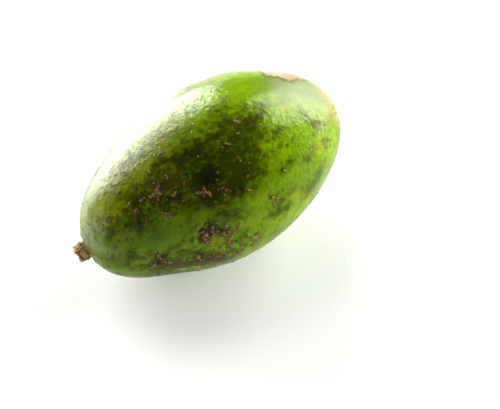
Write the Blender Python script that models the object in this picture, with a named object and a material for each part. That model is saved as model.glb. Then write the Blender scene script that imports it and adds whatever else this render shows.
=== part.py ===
"""An ambarella fruit with the stump of its stalk, lying on its side.

The long axis runs along X, with the stalk end at -X. Z is up, and the fruit rests on a small flat
spot at Z = 0. The origin is under the middle of the bounding box. All lengths are in metres.
"""

import math

import bmesh
import bpy
import numpy as np
from mathutils import Matrix, Vector

MM = 0.001

# Body, an oblong plum shape, a little fuller toward the tip
BODY_LENGTH = 87.3 * MM
BODY_DIAMETER = 51.2 * MM
STALK_END_SLIM = 0.064
TIP_END_SLIM = 0.032
TIP_FULLER = 0.031
FLAT_DEPTH = 0.30 * MM
AXIS_HEIGHT = BODY_DIAMETER / 2 - FLAT_DEPTH

# These put the middle of the bounding box, stump included, over the origin
CENTRE_X = 1.33 * MM
CENTRE_Y = -0.14 * MM

# Slow swells and hollows of the skin: along from the middle, degrees round, reach, rise
# Degrees round start at +Y and pass the top at 90
SWELLS = (
    (-30, 28, 9, -0.05),
    (-42, 0, 8, -0.42),
    (-38, 238, 9, 0.36),
    (-24, 221, 10, -0.55),
    (20, 47, 9, 0.55),
    (31, 54, 6, -0.65),
    (-6, 36, 9, -0.18),
    (41, 150, 8, 0.25),
    (-12, 150, 10, -0.20),
    (14, 100, 9, 0.22),
)
DRAWN_SWELLS = 70
DRAWN_SWELL_REACH = (4.0, 8.0)
DRAWN_SWELL_RISE = 0.16

# Corky scars seen in the picture: along, degrees round, size, arms
# The rest of the skin gets drawn ones, away from the side that the picture shows
SHOWN_SIDE = (-0.403, -0.501, 0.766)
SCARS = (
    (-23.8, 113, 3.4, 4),
    (-25.8, 117, 3.0, 3),
    (-25.6, 124, 1.8, 2),
    (-20.6, 110, 2.0, 3),
    (-20.2, 124, 3.6, 3),
    (-14.4, 133, 3.0, 5),
    (-9.8, 136, 2.2, 2),
    (-25.0, 134, 3.2, 3),
    (-17.6, 165, 3.6, 6),
    (-12.8, 170, 2.6, 4),
    (-11.7, 179, 2.2, 3),
    (-9.4, 166, 2.4, 3),
    (-12.3, 160, 1.4, 2),
    (-30.4, 175, 3.4, 4),
    (-33.0, 185, 2.2, 3),
    (-20.2, 184, 3.4, 4),
    (-16.2, 191, 3.2, 5),
    (-12.6, 194, 2.8, 4),
    (-9.4, 190, 2.8, 4),
    (4.2, 105, 2.0, 4),
    (-2.1, 114, 1.8, 3),
    (-31.6, 91, 2.0, 2),
    (-3.4, 146, 2.2, 3),
    (3.6, 160, 2.6, 4),
    (9.5, 148, 2.0, 3),
)
DRAWN_SCARS = 46
SCAR_HALF_WIDTH = 0.85 * MM
SCAR_RISE = 0.34 * MM

# Larger lenticels, the small raised pores of the skin
LENTICELS = 70
LENTICEL_RADIUS = (0.55, 0.85)
LENTICEL_RISE = 0.20 * MM

# Russet patch near the tip, a thin rough plate with an uneven edge
PATCH_ALONG = 31.5 * MM
PATCH_ROUND = math.radians(62)
PATCH_RADIUS = 7.2 * MM
PATCH_RISE = 0.24 * MM

# Stalk end: where the stalk joins, the hollow round it and its socket
STALK_OFF_AXIS = 5.0 * MM
STALK_ROUND = math.radians(305)
HOLLOW_DEPTH = 0.75 * MM
HOLLOW_REACH = 4.6 * MM
COLLAR_RISE = 0.30 * MM
COLLAR_RADIUS = 4.3 * MM
SOCKET_DEPTH = 1.3 * MM
SOCKET_CLEARANCE = 0.30 * MM

# Stump of the stalk
STUMP_BASE_RADIUS = 2.75 * MM
STUMP_END_RADIUS = 2.55 * MM
STUMP_OUTSIDE = 2.6 * MM
STUMP_NODE_RISE = 0.25 * MM
STUMP_FURROWS = 9
STUMP_FURROW_DEPTH = 0.07 * MM
STUMP_KNOB_RISE = 0.15 * MM
STUMP_PITH_DEPTH = 0.6 * MM

# Tip, with the scar that the flower left
TIP_HOLLOW = 0.35 * MM
TIP_HOLLOW_REACH = 4.5 * MM
TIP_POINT_RISE = 0.55 * MM
TIP_POINT_REACH = 1.1 * MM

# Mesh density and seeds
RINGS = 190
SEGMENTS = 300
KEPT_SHARE = 0.075
SWELL_SEED = 5
SCAR_SEED = 11
LENTICEL_SEED = 23
STUMP_SEED = 7


def clear_scene():
    """Removes whatever the startup file holds."""
    for thing in list(bpy.data.objects):
        bpy.data.objects.remove(thing)


def plain_skin(turn, around):
    """Points of the smooth body: turn is 0 at the stalk end and pi at the tip."""
    along = -np.cos(turn)
    slim = np.where(along < 0, STALK_END_SLIM, TIP_END_SLIM)
    radius = BODY_DIAMETER / 2 * np.sin(turn) * (1 - slim * np.sin(2 * turn) ** 2)
    radius = radius * (1 + TIP_FULLER * along)
    x = BODY_LENGTH / 2 * along + 0 * around
    return np.stack([x, radius * np.cos(around), radius * np.sin(around)], axis=-1)


def outward(points):
    """Unit vectors that point straight out of the smooth body."""
    scale = np.array([BODY_LENGTH, BODY_DIAMETER, BODY_DIAMETER]) / 2
    normals = points / scale**2
    return normals / np.linalg.norm(normals, axis=-1, keepdims=True)


def spot(along, around):
    """The point of the smooth body at a distance along from the middle, and an angle round."""
    turn = math.acos(max(-1.0, min(1.0, -along / (BODY_LENGTH / 2))))
    return plain_skin(np.array(turn), np.array(around))


def fade(distance, inner, outer):
    """1 up to the inner distance, falling smoothly to 0 at the outer one."""
    share = np.clip((distance - inner) / (outer - inner), 0, 1)
    return 1 - share * share * (3 - 2 * share)


def distance_to(points, centre):
    return np.linalg.norm(points - centre, axis=-1)


def distance_to_line(points, start, end):
    """Distance of each point to the straight piece from start to end."""
    step = end - start
    share = np.clip((points - start) @ step / (step @ step), 0, 1)
    return np.linalg.norm(points - start - share[..., None] * step, axis=-1)


def add_swells(points, height):
    """Slow unevenness: the swells listed above, and smaller drawn ones clear of the resting spot."""
    for along, degrees, reach, rise in SWELLS:
        centre = spot(along * MM, math.radians(degrees))
        height += rise * MM * np.exp(-((distance_to(points, centre) / (reach * MM)) ** 2))
    draw = np.random.default_rng(SWELL_SEED)
    for _ in range(DRAWN_SWELLS):
        centre = spot(draw.uniform(-0.96, 0.96) * BODY_LENGTH / 2, draw.uniform(0, 2 * math.pi))
        reach = draw.uniform(*DRAWN_SWELL_REACH) * MM
        rise = draw.uniform(-DRAWN_SWELL_RISE, DRAWN_SWELL_RISE) * MM
        if centre[2] > -0.8 * BODY_DIAMETER / 2:
            height += rise * np.exp(-((distance_to(points, centre) / reach) ** 2))


def scar_arms(along, around, size, arms, draw):
    """The straight pieces of one branching scar, as pairs of points on the smooth body."""
    pieces = []
    first = draw.uniform(0, 2 * math.pi)
    for arm in range(arms):
        heading = first + 2 * math.pi * arm / arms + draw.uniform(-0.5, 0.5)
        here = np.array([along, around])
        for _ in range(3):
            step = size / 4 * draw.uniform(0.6, 1.3)
            radius = max(6 * MM, math.hypot(*spot(here[0], here[1])[1:]))
            there = here + [step * math.cos(heading), step * math.sin(heading) / radius]
            pieces.append((spot(*here), spot(*there)))
            here = there
            heading += draw.uniform(-0.8, 0.8)
    return pieces


def free_for_drawn_scars(centre):
    """True away from the shown side and from the resting spot."""
    shown = outward(centre) @ np.array(SHOWN_SIDE)
    return shown < 0.12 and centre[2] > -0.93 * BODY_DIAMETER / 2


def add_scars(points, height):
    """Branching corky scars with a flat top and soft sides."""
    draw = np.random.default_rng(SCAR_SEED)
    pieces = []
    for along, degrees, size, arms in SCARS:
        pieces += scar_arms(along * MM, math.radians(degrees), size * MM, arms, draw)
    drawn = 0
    while drawn < DRAWN_SCARS:
        along = draw.uniform(-0.9, 0.75) * BODY_LENGTH / 2
        around = draw.uniform(0, 2 * math.pi)
        if free_for_drawn_scars(spot(along, around)):
            size, arms = draw.uniform(1.6, 3.4) * MM, int(draw.integers(2, 6))
            pieces += scar_arms(along, around, size, arms, draw)
            drawn += 1
    nearest = np.full(height.shape, 1.0)
    for start, end in pieces:
        nearest = np.minimum(nearest, distance_to_line(points, start, end))
    height += SCAR_RISE * fade(nearest, 0.3 * SCAR_HALF_WIDTH, 1.25 * SCAR_HALF_WIDTH)


def add_lenticels(points, height):
    draw = np.random.default_rng(LENTICEL_SEED)
    for _ in range(LENTICELS):
        centre = spot(draw.uniform(-0.93, 0.9) * BODY_LENGTH / 2, draw.uniform(0, 2 * math.pi))
        radius = draw.uniform(*LENTICEL_RADIUS) * MM
        if centre[2] > -0.93 * BODY_DIAMETER / 2:
            height += LENTICEL_RISE * fade(distance_to(points, centre), 0.3 * radius, 1.3 * radius)


def add_patch(points, height):
    """The russet plate: a long low step whose edge wanders in and out."""
    centre = spot(PATCH_ALONG, PATCH_ROUND)
    way_round = np.array([0, -math.sin(PATCH_ROUND), math.cos(PATCH_ROUND)])
    angle = np.arctan2((points - centre) @ way_round, points[..., 0] - centre[0])
    edge = 1 + 0.10 * np.sin(3 * angle + 0.7) + 0.07 * np.sin(7 * angle + 2.0)
    height += PATCH_RISE * fade(distance_to(points, centre) / PATCH_RADIUS / edge, 0.90, 1.06)


def add_ends(points, height, stalk_point):
    """The hollow and collar round the stalk, and the pointed flower scar at the tip."""
    away = distance_to(points, stalk_point)
    height -= HOLLOW_DEPTH * np.exp(-((away / HOLLOW_REACH) ** 2))
    height += COLLAR_RISE * np.exp(-(((away - COLLAR_RADIUS) / (0.9 * MM)) ** 2))
    tip = np.array([BODY_LENGTH / 2, 0, 0])
    height -= TIP_HOLLOW * np.exp(-((distance_to(points, tip) / TIP_HOLLOW_REACH) ** 2))
    height += TIP_POINT_RISE * np.exp(-((distance_to(points, tip) / TIP_POINT_REACH) ** 2))


def placed(points):
    """Moves points from the body's own middle into the frame that the file uses."""
    return points + np.array([CENTRE_X, CENTRE_Y, AXIS_HEIGHT])


def new_object(name, points, faces, material):
    """Makes a smooth shaded mesh object in the ambarella collection."""
    mesh = bpy.data.meshes.new(name)
    mesh.from_pydata(points.tolist(), [], faces)
    mesh.validate()
    build = bmesh.new()
    build.from_mesh(mesh)
    bmesh.ops.recalc_face_normals(build, faces=build.faces)
    build.to_mesh(mesh)
    build.free()
    mesh.polygons.foreach_set("use_smooth", [True] * len(mesh.polygons))
    mesh.materials.append(material)
    thing = bpy.data.objects.new(name, mesh)
    bpy.data.collections["ambarella"].objects.link(thing)
    return thing


def lathe_faces(rings, segments):
    """Faces of a closed skin made of rings of points, with one point at each end."""
    first, last = rings * segments, rings * segments + 1
    faces = []
    for segment in range(segments):
        after = (segment + 1) % segments
        faces.append((first, after, segment))
        faces.append((last, (rings - 1) * segments + segment, (rings - 1) * segments + after))
        for ring in range(rings - 1):
            low, high = ring * segments, (ring + 1) * segments
            faces.append((low + segment, low + after, high + after, high + segment))
    return faces


def make_material(name, colour, roughness):
    material = bpy.data.materials.new(name)
    material.use_nodes = True
    shader = material.node_tree.nodes["Principled BSDF"]
    shader.inputs["Base Color"].default_value = (*colour, 1)
    shader.inputs["Roughness"].default_value = roughness
    return material


def keep_as_cutter(cutter):
    cutter.hide_render = True
    cutter.display_type = "WIRE"
    bpy.data.collections["cutters"].objects.link(cutter)


def add_cut(thing, name, cutter):
    cut = thing.modifiers.new(name, "BOOLEAN")
    cut.operation = "DIFFERENCE"
    cut.solver = "EXACT"
    cut.object = cutter


def make_fruit(stalk_point, stalk_way, rind):
    """The whole fruit as one solid, with its resting spot and the socket of the stalk cut in."""
    turn = np.linspace(0, math.pi, RINGS + 2)[1:-1, None]
    around = np.linspace(0, 2 * math.pi, SEGMENTS, endpoint=False)[None, :]
    skin = plain_skin(turn, around).reshape(-1, 3)
    ends = np.array([[-BODY_LENGTH / 2, 0, 0], [BODY_LENGTH / 2, 0, 0]])
    skin = np.concatenate([skin, ends])
    height = np.zeros(len(skin))
    add_swells(skin, height)
    add_scars(skin, height)
    add_lenticels(skin, height)
    add_patch(skin, height)
    add_ends(skin, height, stalk_point)
    skin = placed(skin + height[:, None] * outward(skin))
    fruit = new_object("ambarella_fruit", skin, lathe_faces(RINGS, SEGMENTS), rind)

    fewer = fruit.modifiers.new("keep triangles where the relief is", "DECIMATE")
    fewer.decimate_type = "COLLAPSE"
    fewer.ratio = KEPT_SHARE
    fewer.use_collapse_triangulate = True

    build = bmesh.new()
    bmesh.ops.create_cube(build, size=60 * MM)
    bmesh.ops.translate(build, verts=build.verts, vec=(0, 0, -30 * MM))
    floor_mesh = bpy.data.meshes.new("resting_spot_cutter")
    build.to_mesh(floor_mesh)
    build.free()
    floor_cutter = bpy.data.objects.new("resting_spot_cutter", floor_mesh)
    keep_as_cutter(floor_cutter)
    add_cut(fruit, "resting spot", floor_cutter)

    build = bmesh.new()
    radius = STUMP_BASE_RADIUS + SOCKET_CLEARANCE
    bmesh.ops.create_cone(
        build, cap_ends=True, segments=48, radius1=radius, radius2=radius, depth=8 * MM
    )
    middle = Vector(placed(stalk_point)) + stalk_way * (4 * MM - HOLLOW_DEPTH - SOCKET_DEPTH)
    turned = stalk_way.to_track_quat("Z", "Y").to_matrix().to_4x4()
    bmesh.ops.transform(build, matrix=Matrix.Translation(middle) @ turned, verts=build.verts)
    socket_mesh = bpy.data.meshes.new("stalk_socket_cutter")
    build.to_mesh(socket_mesh)
    build.free()
    socket_cutter = bpy.data.objects.new("stalk_socket_cutter", socket_mesh)
    keep_as_cutter(socket_cutter)
    add_cut(fruit, "stalk socket", socket_cutter)
    return fruit


def make_stump(stalk_point, stalk_way, bark):
    """The broken stump of the woody stalk, furrowed, with a node at its foot and a pith hollow."""
    draw = np.random.default_rng(STUMP_SEED)
    segments, side_rings = 36, 10
    lowest = -HOLLOW_DEPTH - SOCKET_DEPTH + SOCKET_CLEARANCE
    length = STUMP_OUTSIDE - lowest
    around = np.linspace(0, 2 * math.pi, segments, endpoint=False)
    phases = draw.uniform(0, 2 * math.pi, 4)
    rings = []
    for ring in range(side_rings):
        share = ring / (side_rings - 1)
        radius = STUMP_BASE_RADIUS + share * (STUMP_END_RADIUS - STUMP_BASE_RADIUS)
        outside = fade(np.array(share), 0.35, 0.2)
        node = STUMP_NODE_RISE * math.exp(-(((share - 0.52) / 0.10) ** 2))
        furrows = STUMP_FURROW_DEPTH * np.sin(STUMP_FURROWS * around + phases[0])
        knobs = np.sin(3 * around + phases[1] + 5 * share) + 0.6 * np.sin(5 * around - 4 * share)
        side = radius + outside * (node + furrows + STUMP_KNOB_RISE * knobs) - 0.05 * MM
        rings.append((side, lowest + share * length + 0 * around))
    splinters = 0.30 * np.sin(2 * around + phases[2]) + 0.22 * np.sin(5 * around + phases[3])
    rim_height = rings[-1][1] + splinters * MM
    rings[-1] = (rings[-1][0], rim_height)
    for share, drop in ((0.86, -0.10), (0.66, 0.12), (0.48, 0.02), (0.34, 0.30), (0.2, 0.85)):
        inner = rings[side_rings - 1][0] * share
        sunk = STUMP_PITH_DEPTH * drop
        rings.append((inner, lowest + length - sunk + splinters * MM * share**1.5))
    points = []
    for radius, high in rings:
        points.append(np.stack([radius * np.cos(around), radius * np.sin(around), high], axis=-1))
    foot = [[0, 0, lowest]]
    pith = [[0, 0, lowest + length - STUMP_PITH_DEPTH]]
    points = np.concatenate([*points, foot, pith])
    turned = np.array(stalk_way.to_track_quat("Z", "Y").to_matrix())
    points = placed(points @ turned.T + stalk_point)
    return new_object("stalk_stump", points, lathe_faces(len(rings), segments), bark)


def main():
    clear_scene()
    scene = bpy.context.scene
    for name in ("ambarella", "cutters"):
        scene.collection.children.link(bpy.data.collections.new(name))
    rind = make_material("waxy green rind", (0.14, 0.27, 0.02), 0.4)
    bark = make_material("corky bark", (0.26, 0.16, 0.07), 0.75)
    turn = math.asin(STALK_OFF_AXIS / (BODY_DIAMETER / 2))
    stalk_point = plain_skin(np.array(turn), np.array(STALK_ROUND))
    stalk_way = Vector(outward(stalk_point))
    make_fruit(stalk_point, stalk_way, rind)
    make_stump(stalk_point, stalk_way, bark)


main()
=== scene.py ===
"""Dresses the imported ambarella: waxy mottled rind, corky scars, a broken stalk and a studio."""

import math

import bmesh
import bpy
import numpy as np
from bpy.props import FloatProperty, FloatVectorProperty, IntProperty, PointerProperty
from bpy.types import Operator, Panel, PropertyGroup
from mathutils import Matrix, Vector, noise


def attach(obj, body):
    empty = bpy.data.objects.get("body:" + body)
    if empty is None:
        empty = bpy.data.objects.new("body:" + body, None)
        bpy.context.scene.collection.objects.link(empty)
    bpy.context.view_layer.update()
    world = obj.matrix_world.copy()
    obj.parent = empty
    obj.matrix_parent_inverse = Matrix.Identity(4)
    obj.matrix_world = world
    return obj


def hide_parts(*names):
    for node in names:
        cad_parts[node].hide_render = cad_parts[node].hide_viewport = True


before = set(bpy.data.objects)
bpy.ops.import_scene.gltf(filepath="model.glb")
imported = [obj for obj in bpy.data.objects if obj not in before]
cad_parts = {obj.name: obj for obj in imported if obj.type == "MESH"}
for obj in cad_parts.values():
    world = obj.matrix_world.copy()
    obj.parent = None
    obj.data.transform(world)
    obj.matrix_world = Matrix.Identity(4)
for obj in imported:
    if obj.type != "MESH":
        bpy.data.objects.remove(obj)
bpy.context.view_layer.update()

bl_info = {
    "name": "Ambarella fruit",
    "version": (1, 0, 0),
    "blender": (4, 5, 0),
    "location": "3D View > Sidebar > Ambarella",
    "description": "Makes a whole green ambarella with corky scars and a broken stump of stalk",
    "category": "Add Mesh",
}

MM = 0.001

# Shape of the body, the same as its solid
BODY_LENGTH = 87.3 * MM
BODY_DIAMETER = 51.2 * MM
STALK_END_SLIM = 0.064
TIP_END_SLIM = 0.032
TIP_FULLER = 0.031
BODY_PLACE = Vector((1.33 * MM, -0.14 * MM, 25.3 * MM))

# Slow swells and hollows: along from the middle, degrees round, reach, rise, all lengths in
# millimetres
SWELLS = (
    (-30, 28, 9, -0.05),
    (-42, 0, 8, -0.42),
    (-38, 238, 9, 0.36),
    (-24, 221, 10, -0.55),
    (20, 47, 9, 0.55),
    (31, 54, 6, -0.65),
    (-6, 36, 9, -0.18),
    (41, 150, 8, 0.25),
    (-12, 150, 10, -0.20),
    (14, 100, 9, 0.22),
)

# Swells drawn everywhere but underneath, the same as in the solid, with lengths in millimetres
SWELL_SEED = 5
DRAWN_SWELLS = 70
DRAWN_SWELL_REACH = (4.0, 8.0)
DRAWN_SWELL_RISE = 0.16

# Corky scars: half the width of the cork in millimetres, then the line that it follows as pairs of
# millimetres along from the middle and degrees round
SCARS = (
    (0.47, ((-23.6, 112), (-24.8, 114), (-26.1, 116), (-26.8, 115))),
    (0.34, ((-24.8, 114), (-24.1, 118))),
    (0.32, ((-25.1, 119), (-25.9, 122), (-26.1, 125))),
    (0.42, ((-20.7, 109), (-20.5, 112))),
    (0.37, ((-26.1, 131), (-25.6, 134), (-24.9, 137), (-23.8, 137))),
    (0.45, ((-21.8, 124), (-20.6, 123), (-19.4, 124), (-18.3, 123))),
    (0.26, ((-17.1, 119), (-18.1, 121), (-19.2, 124))),
    (0.45, ((-16.2, 131), (-14.7, 133), (-13.4, 135))),
    (0.34, ((-14.3, 131), (-15.1, 135))),
    (0.37, ((-13.4, 135), (-13.6, 137))),
    (0.18, ((-11.1, 135), (-9.6, 136), (-8.5, 139), (-10.2, 138), (-11.1, 135))),
    (0.63, ((-18.7, 160), (-18.1, 164), (-19.0, 166), (-18.1, 171))),
    (0.58, ((-15.8, 159), (-16.2, 162), (-16.0, 165), (-16.7, 168))),
    (0.45, ((-16.0, 165), (-14.9, 164))),
    (0.45, ((-17.9, 166), (-16.6, 165))),
    (0.52, ((-13.6, 166), (-13.2, 169), (-12.6, 172))),
    (0.61, ((-13.2, 169), (-11.9, 168))),
    (0.54, ((-12.3, 161), (-12.1, 162))),
    (0.45, ((-8.9, 165), (-9.6, 169), (-10.4, 170))),
    (0.61, ((-12.5, 177), (-12.1, 181), (-11.0, 179))),
    (0.46, ((-21.1, 183), (-20.3, 188), (-18.9, 190))),
    (0.36, ((-17.4, 193), (-16.7, 190))),
    (0.28, ((-15.6, 194), (-13.6, 196))),
    (0.28, ((-13.6, 187), (-12.3, 189), (-11.1, 190))),
    (0.44, ((-9.8, 188), (-7.9, 193))),
    (0.49, ((-31.1, 170), (-29.7, 180))),
    (0.38, ((-33.1, 186), (-31.9, 182))),
    (0.12, ((-29.4, 86), (-30.2, 84.5))),
    (0.12, ((-31.3, 82.5), (-32.4, 80))),
    (0.12, ((-25.1, 86), (-24.8, 86.5))),
    (0.12, ((-24.0, 85), (-23.8, 86.0))),
    (0.38, ((4.0, 104), (4.6, 106))),
    (0.34, ((-2.6, 113), (-1.6, 115))),
    (0.27, ((-4.0, 144), (-2.8, 147), (-2.9, 150))),
    (0.34, ((2.6, 158), (3.8, 160), (4.4, 164))),
    (0.29, ((9.0, 146), (10.2, 149))),
    (0.36, ((-19.4, 186), (-18.2, 186))),
    (0.26, ((-15.2, 189), (-14.2, 191))),
    (0.30, ((-6.0, 189), (-4.8, 191), (-3.9, 190))),
    (0.22, ((-10.6, 192), (-9.4, 194))),
    (0.28, ((-28.9, 182), (-27.8, 184))),
)

# Which way the side that the photograph shows faces, then the seeds of the scars and pores on the
# other sides and of the stump
SHOWN_SIDE = (-0.403, -0.501, 0.766)
SCAR_SEED = 11
STUMP_SEED = 7

# Small corky pores: millimetres along from the middle, degrees round, radius in millimetres
PORES = (
    (-27.9, 113, 0.40),
    (-28.9, 113, 0.33),
    (-31.8, 109, 0.45),
    (-32.4, 110, 0.43),
    (-31.6, 118, 0.43),
    (-31.1, 119, 0.38),
    (-32.2, 92, 0.47),
    (-36.9, 103, 0.33),
    (-34.4, 78, 0.45),
    (-30.5, 128, 0.33),
    (-30.0, 128, 0.35),
    (-32.9, 131, 0.33),
    (-34.1, 123, 0.28),
    (-23.1, 97, 0.35),
    (-23.3, 99, 0.43),
    (-24.0, 107, 0.30),
    (-22.5, 128, 0.35),
    (-20.3, 131, 0.35),
    (-23.1, 132, 0.28),
    (-10.0, 130, 0.38),
    (-16.3, 115, 0.33),
    (-25.1, 171, 0.35),
    (-21.6, 171, 0.28),
    (-9.8, 178, 0.28),
    (-20.9, 190, 0.43),
    (-17.4, 93, 0.38),
    (-8.1, 92, 0.33),
    (-9.6, 91, 0.33),
    (0.5, 88, 0.38),
    (-2.3, 105, 0.33),
    (-11.0, 111, 0.33),
    (-8.7, 111, 0.30),
    (5.2, 87, 0.30),
    (7.5, 88, 0.33),
    (2.3, 112, 0.33),
    (-21.5, 184, 0.52),
    (-20.2, 189, 0.58),
    (-19.0, 181, 0.46),
    (-17.9, 187, 0.55),
    (-16.9, 183, 0.52),
    (-16.0, 190, 0.58),
    (-15.0, 179, 0.43),
    (-14.4, 186, 0.58),
    (-13.0, 190, 0.61),
    (-12.4, 182, 0.49),
    (-11.2, 186, 0.61),
    (-10.0, 179, 0.49),
    (-9.4, 190, 0.61),
    (-8.6, 183, 0.55),
    (-7.2, 187, 0.61),
    (-6.8, 178, 0.49),
    (-5.6, 183, 0.58),
    (-4.4, 188, 0.61),
    (-3.6, 180, 0.52),
    (-2.2, 185, 0.58),
)

# The lists of soft patches below give millimetres along from the middle, degrees round, reach in
# millimetres, and strength

# Dark green film, partly painted shade that darkens the middle band and the underside, with a
# strength less than nothing where it is thin
FILM_AND_PAINTED_SHADE = (
    (-39, 112, 5, 0.42),
    (-35, 96, 4, -0.15),
    (-31, 90, 4, -0.15),
    (-34, 104, 5, 0.30),
    (-31, 106, 3, 0.15),
    (-33, 121, 5, 0.34),
    (-37, 136, 5, 0.26),
    (-29, 112, 5, 0.40),
    (-25, 103, 5, 0.30),
    (-26, 124, 5, 0.34),
    (-21, 113, 5, 0.36),
    (-20, 133, 5, 0.40),
    (-16, 120, 5, 0.48),
    (-13, 133, 5, 0.50),
    (-11, 114, 5, 0.44),
    (-8, 126, 6, 0.46),
    (-4, 117, 6, 0.52),
    (-3, 132, 6, 0.46),
    (1, 108, 5, 0.34),
    (4, 122, 6, 0.42),
    (-21, 93, 5, 0.16),
    (-16, 97, 5, 0.34),
    (-10, 99, 5, 0.34),
    (-4, 98, 5, 0.32),
    (3, 96, 5, 0.46),
    (9, 97, 5, 0.38),
    (-13, 148, 5, 0.48),
    (-12, 158, 4, 0.26),
    (-7, 146, 5, 0.34),
    (0, 146, 6, 0.30),
    (10, 112, 5, 0.24),
    (11, 130, 6, 0.26),
    (8, 150, 6, 0.24),
    (17, 119, 7, 0.16),
    (9, 64, 6, -0.40),
    (14, 72, 6, -0.40),
    (19, 80, 5, -0.35),
    (20, 101, 5, -0.35),
    (27, 110, 5, -0.35),
    (33, 118, 5, -0.25),
    (23, 118, 7, 0.14),
    (22, 150, 7, 0.14),
    (-27, 187, 4, 0.55),
    (-22, 188, 4, 0.75),
    (-17, 191, 4, 0.60),
    (-21, 166, 4, 0.20),
    (9, 95, 5, 0.16),
    (-12, 191, 4, 0.30),
    (-40, 172, 4, 0.35),
    (-38, 84, 3, -0.40),
    (-31, 149, 4, -0.22),
    (-26, 147, 4, -0.18),
    (-35, 184, 4, 0.30),
    (19, 141, 6, 0.24),
    (26, 129, 5, 0.18),
    (28, 152, 6, 0.22),
    (19, 166, 6, 0.24),
    (4, 170, 6, 0.28),
    (-25, 165, 4, 0.26),
    (-19, 168, 4, 0.24),
    (-18, 180, 4, 0.28),
    (-30, 180, 4, 0.28),
)

# Brownish haze, with a strength less than nothing where the skin is clean
HAZE = (
    (-42, 84, 5, 0.44),
    (-39, 73, 4, 0.44),
    (-35, 70, 4, 0.55),
    (-30, 69, 4, 0.66),
    (-26, 72, 4, 0.61),
    (-21, 76, 4, 0.72),
    (-16, 77, 4, 0.66),
    (-12, 79, 4, 0.55),
    (-7, 79, 4, 0.49),
    (-2, 79, 4, 0.39),
    (2, 80, 3, 0.34),
    (-38, 112, 5, 0.50),
    (35, 128, 5, 0.35),
    (36, 145, 5, 0.60),
    (-27, 113, 5, 0.34),
    (-24, 110, 5, 0.55),
    (-19, 114, 5, 0.45),
    (-27, 122, 4, 0.45),
    (-20, 130, 4, 0.45),
    (-14, 126, 4, 0.30),
    (-7, 139, 4, 0.35),
    (8, 98, 4, 0.40),
    (-18, 166, 4, 0.35),
    (-36, 188, 5, 0.45),
    (-30, 186, 5, 0.50),
    (-23, 189, 5, 0.50),
    (-16, 190, 5, 0.45),
    (-10, 188, 5, 0.45),
    (-43, 165, 4, 0.30),
    (14, 72, 6, -0.45),
    (20, 84, 5, -0.45),
    (11, 88, 5, -0.40),
    (15, 97, 5, -0.45),
    (23, 95, 6, -0.55),
    (28, 88, 5, -0.45),
    (31, 98, 5, -0.45),
    (21, 106, 5, -0.40),
    (29, 108, 5, -0.40),
    (8, 58, 5, -0.35),
    (15, 62, 5, -0.35),
    (-27, 189, 4, 0.55),
    (-20, 192, 4, 0.55),
    (-13, 192, 4, 0.35),
    (-10, 148, 6, -0.20),
    (-22, 150, 5, -0.20),
    (-31, 148, 5, -0.20),
    (-38, 83, 3, -0.60),
    (-42, 130, 4, -0.20),
)

# Smooth grey-green bloom, partly a painted sheen whose grey stands in for mirrored light along the
# upper limb, at the highlight's lower edge and on the lower band, with a strength less than
# nothing where it is thin
BLOOM_AND_PAINTED_SHEEN = (
    (22, 92, 4, 0.35),
    (26, 86, 5, 0.55),
    (28, 98, 6, 0.60),
    (23, 104, 4, 0.30),
    (34, 92, 5, 0.65),
    (33, 108, 6, 0.60),
    (36, 101, 5, 0.55),
    (38, 118, 5, 0.45),
    (-34, 140, 6, 0.30),
    (-27, 148, 6, 0.35),
    (-19, 146, 5, 0.25),
    (-11, 151, 6, 0.30),
    (-29, 162, 5, 0.25),
    (-20, 176, 5, 0.25),
    (-43, 62, 5, 0.50),
    (-40, 52, 5, 0.45),
    (-43, 90, 5, 0.42),
    (-43, 140, 6, 0.36),
    (-41, 165, 5, 0.40),
    (-36, 72, 5, 0.40),
    (-29, 70, 5, 0.45),
    (-22, 74, 5, 0.45),
    (-15, 76, 5, 0.40),
    (-8, 77, 5, 0.35),
    (-1, 78, 4, 0.25),
    (-34, 52, 5, 0.45),
    (-25, 48, 5, 0.45),
    (-15, 47, 5, 0.40),
    (-5, 48, 5, 0.35),
    (-38, 82, 3, -0.35),
    (-42, 128, 4, -0.15),
)

# Olive patches that start to ripen
OLIVE = (
    (-31, 92, 5, 1.0),
    (-35, 97, 5, 0.9),
    (-26, 92, 5, 0.8),
    (-22, 99, 4, 0.5),
    (-17, 104, 4, 0.4),
    (-36, 122, 4, 0.4),
    (-21, 118, 4, 0.4),
    (-9, 104, 5, 0.3),
    (-38, 84, 3, 1.0),
)

# Sooty blotches
SOOT = (
    (-10.6, 128, 2.3, 1.2),
    (-12.4, 125, 2.4, 0.8),
    (-32.2, 132, 2.0, 1.0),
    (-17.2, 160, 2.6, 1.1),
    (-18.8, 163, 2.2, 0.9),
    (-15.2, 164, 3.0, 0.5),
    (-32.4, 178, 2.4, 0.8),
    (-2.0, 116, 1.5, 0.9),
    (-6.9, 142, 1.8, 1.0),
    (-24.6, 120, 2.8, 0.8),
    (-20.0, 126, 2.6, 0.7),
    (-24.6, 132, 2.6, 0.6),
    (-15.6, 134, 2.2, 0.5),
    (-36.5, 104, 2.6, 0.6),
    (-28.2, 113, 2.2, 0.6),
    (-20.4, 186, 2.6, 0.7),
    (-11.5, 172, 2.4, 0.5),
    (-4.6, 143, 2.6, 0.6),
    (3.6, 160, 3.0, 0.7),
    (-8.9, 121, 2.6, 0.5),
    (-13.6, 114, 2.4, 0.5),
    (-15.2, 158, 2.2, 0.9),
    (-19.6, 168, 2.0, 0.7),
    (-12.6, 165, 2.0, 0.5),
    (-29.4, 173, 2.4, 0.6),
    (-36.0, 134, 2.6, 0.5),
    (-12.0, 187, 2.4, 0.5),
    (-42.0, 120, 4.0, 0.28),
    (-39.0, 140, 5.0, 0.20),
    (-37.0, 162, 5.0, 0.25),
    (-41.0, 178, 4.0, 0.35),
    (-31.0, 178, 3.0, 0.35),
    (-24.0, 182, 3.0, 0.35),
    (-17.0, 186, 3.0, 0.40),
    (-33.0, 76, 4.0, 0.35),
    (-26.0, 78, 4.0, 0.35),
    (-18.0, 80, 4.0, 0.35),
)

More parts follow.
